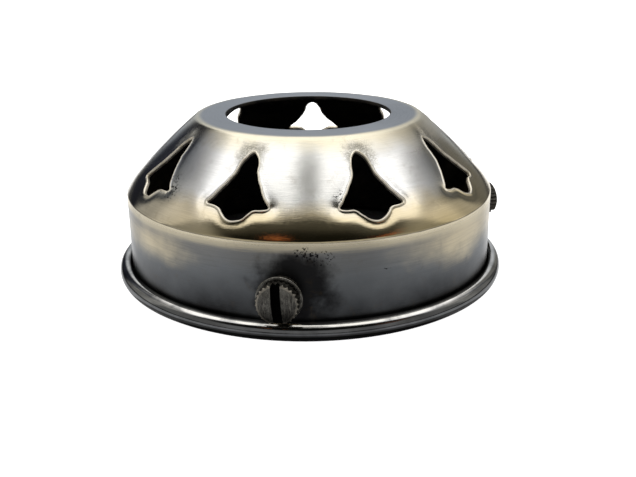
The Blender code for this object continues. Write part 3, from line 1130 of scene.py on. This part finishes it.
def make_bush_brass():
    w = new_material("plain_brass_bush_turned", Metallic=1.0)
    place = w.place()
    cloud = w.noise(place, 0.8, 4.0, 0.6)
    colour = w.mix(w.step(cloud, 0.35, 0.65), (0.60, 0.47, 0.25), (0.30, 0.225, 0.11))
    turning_marks = w.noise(place, 6.0, 3.0, 0.6)
    return w.finish(colour, w.add(0.3, w.times(cloud, 0.2)), turning_marks, 0.00003, 0.5)


# ---- studio

def make_camera():
    aside, down = CAMERA_ASIDE, CAMERA_DOWN
    forward = Vector((math.sin(aside) * math.cos(down), math.cos(aside) * math.cos(down), -math.sin(down)))
    right = forward.cross(Vector((0, 0, 1))).normalized()
    up = right.cross(forward)
    rolled_right = right * math.cos(CAMERA_ROLL) + up * math.sin(CAMERA_ROLL)
    rolled_up = up * math.cos(CAMERA_ROLL) - right * math.sin(CAMERA_ROLL)
    place = Vector((0, -CAMERA_AWAY, CAMERA_UP - TOP_Z)) * MM
    data = bpy.data.cameras.new("camera")
    data.lens = CAMERA_LENS
    data.sensor_width = 36.0
    data.clip_start = 0.005
    camera = add_object("camera", data)
    round_axis = Matrix.Rotation(math.radians(CAMERA_ROUND_DEG), 4, "Z")
    camera.matrix_world = round_axis @ axes_at((rolled_right, rolled_up, -forward), place)
    scene.camera = camera


def make_disc(name, radius, height, material):
    builder = bmesh.new()
    bmesh.ops.create_circle(builder, cap_ends=True, segments=128, radius=radius * MM)
    disc = object_from(builder, name)
    disc.location.z = (RIM_FLOOR + height) * MM
    disc.data.materials.append(material)
    return disc


def make_floor():
    """White paper lit evenly from beneath, and a dark disc inside the gallery that is painted shade."""
    paper = new_material(
        "white_paper", Base_Color=(0.9, 0.9, 0.9), Roughness=0.9, Emission_Color=(1.0, 1.0, 1.0),
        Emission_Strength=1.0,
    )
    # A dark disc under the gallery: painted shade inside it.
    shadow_disc = new_material("painted_shadow_disc", Base_Color=(0.05, 0.05, 0.052), Roughness=0.6)
    floor = make_disc("white_floor", FLOOR_R, 0.0, paper.owner)
    floor.visible_glossy = False
    make_disc("painted_shadow_inside", SHADOW_DISC_R, SHADOW_DISC_HEIGHT, shadow_disc.owner)


# Warm lamps low in the open front: x and z of their directions, half width; they are flat and wide
LAMPS = ((-0.27, 0.714, 0.11), (0.62, 0.63, 0.09))
LAMP_FLATNESS = 8.0
LAMP_ORANGE = (0.95, 0.33, 0.14)
PANEL_WHITE = (1.6, 1.6, 1.56)


def grey(level):
    return level, level, level


def overhead(w, x, y, z, aside):
    """Overhead panels with the camera's gap between them, falling off towards the grey sides."""
    fall = w.add(w.times(y, 0.7), w.times(w.add(aside, -0.6), 1.6))
    sides = w.ramp(fall, (
        (0.17, grey(1.6)), (0.25, grey(0.95)), (0.32, grey(0.66)), (0.39, grey(0.40)),
        (0.46, (0.24, 0.25, 0.27)), (0.53, (0.135, 0.145, 0.16)), (0.60, (0.09, 0.10, 0.11)),
    ))
    far = w.mix(w.step(x, -0.1, 0.1), (0.02, 0.022, 0.03), (0.18, 0.18, 0.17))
    sides = w.mix(w.step(y, 0.56, 0.68), sides, far)
    back = w.mix(w.step(z, 0.28, 0.75), (0.50, 0.53, 0.56), PANEL_WHITE)
    outermost = w.mix(w.step(y, 0.40, 0.20), (0.55, 0.54, 0.50), (0.95, 0.93, 0.86))
    sides = w.mix(w.step(aside, 0.73, 0.82), sides, outermost)
    roof = w.mix(w.step(aside, 0.34, 0.50), w.mix(w.step(y, 0.22, 0.34), PANEL_WHITE, back), sides)
    gap = w.times(w.step(aside, 0.14, 0.03), w.step(y, -0.02, -0.17))
    return w.mix(w.times(gap, w.step(y, -0.42, -0.26)), roof, (0.22, 0.22, 0.205))


def open_front(w, x, z, aside, edge):
    """A dim room with two warm lamps low in it."""
    room = w.mix(w.step(edge, -0.50, -0.64), (0.085, 0.085, 0.075), (0.012, 0.012, 0.010))
    room = w.mix(w.step(z, 0.58, 0.48), room, (0.55, 0.55, 0.54))
    room = w.mix(w.step(aside, 0.62, 0.82), room, (0.42, 0.42, 0.40))
    stretched = w.vector(x, 0.0, w.times(z, LAMP_FLATNESS))
    for lamp_x, lamp_z, size in LAMPS:
        away = w.distance(stretched, (lamp_x, 0.0, lamp_z * LAMP_FLATNESS))
        room = w.mix(w.step(away, size * 1.3, size * 0.7), room, LAMP_ORANGE)
    return room


def table(w, y, z, aside):
    """The floor as the metal reflects it: darker near, bright towards the horizon behind."""
    near = w.mix(w.step(aside, 0.5, 0.8), (0.55, 0.56, 0.57), (0.80, 0.81, 0.82))
    ground = w.mix(w.step(z, -0.17, -0.12), near, grey(0.08))
    ground = w.mix(w.times(w.step(y, 0.70, 0.86), w.step(z, -0.06, -0.14)), ground, grey(1.2))
    ground = w.mix(w.step(z, -0.42, -0.50), ground, grey(0.20))
    return w.mix(w.step(z, -0.66, -0.80), ground, grey(0.02))


def make_world():
    """The white tent round the gallery. Directions: x to the right, y to the back, z up."""
    w = Wiring(bpy.data.worlds.new("studio"))
    scene.world = w.owner
    x, y, z = w.split(w.coordinates("Generated"))
    aside = w.maths("ABSOLUTE", x)
    edge = w.add(y, w.times(w.times(aside, aside), -0.50))
    room = open_front(w, x, z, aside, edge)
    sky = w.mix(w.step(edge, -0.345, -0.405), overhead(w, x, y, z, aside), room)
    light = w.mix(w.step(z, -0.01, 0.01), table(w, y, z, aside), sky)
    camera_ray = w.node("LightPath", {}).outputs["Is Camera Ray"]
    w.set(w.tree.nodes["Background"].inputs["Color"], w.mix(camera_ray, light, grey(1.0)))


# ---- assembly

scene.view_settings.view_transform = "Standard"
make_camera()
make_floor()
make_world()

stations = find_stations()
shell_materials = [make_shell_brass(stations), make_shell_inside(), make_cut_edge(), make_shell_curl()]
shell = make_shell(stations, shell_materials)
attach(shell, "gallery")
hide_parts("gallery_shell")

bush_brass = make_bush_brass()
washer_bronze = make_dark_bronze("dark_bronze_ring", False)
screw_bronze = make_dark_bronze("dark_bronze_knurled", True)
screw_shape = slotted_screw()
for side, station in stations.items():
    bush = make_bush(f"bush_{side}", station, bush_brass)
    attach(bush, "gallery")
    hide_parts(f"screw_bush_{side}")
    washer = make_washer(f"ring_{side}", station, washer_bronze)
    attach(washer, f"washer_{side}")
    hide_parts(f"washer_{side}")
    screw = make_screw(f"knurled_screw_{side}", station, SLOT_TURNS_DEG[side], screw_shape, screw_bronze)
    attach(screw, f"screw_{side}")
    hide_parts(f"thumb_screw_{side}")
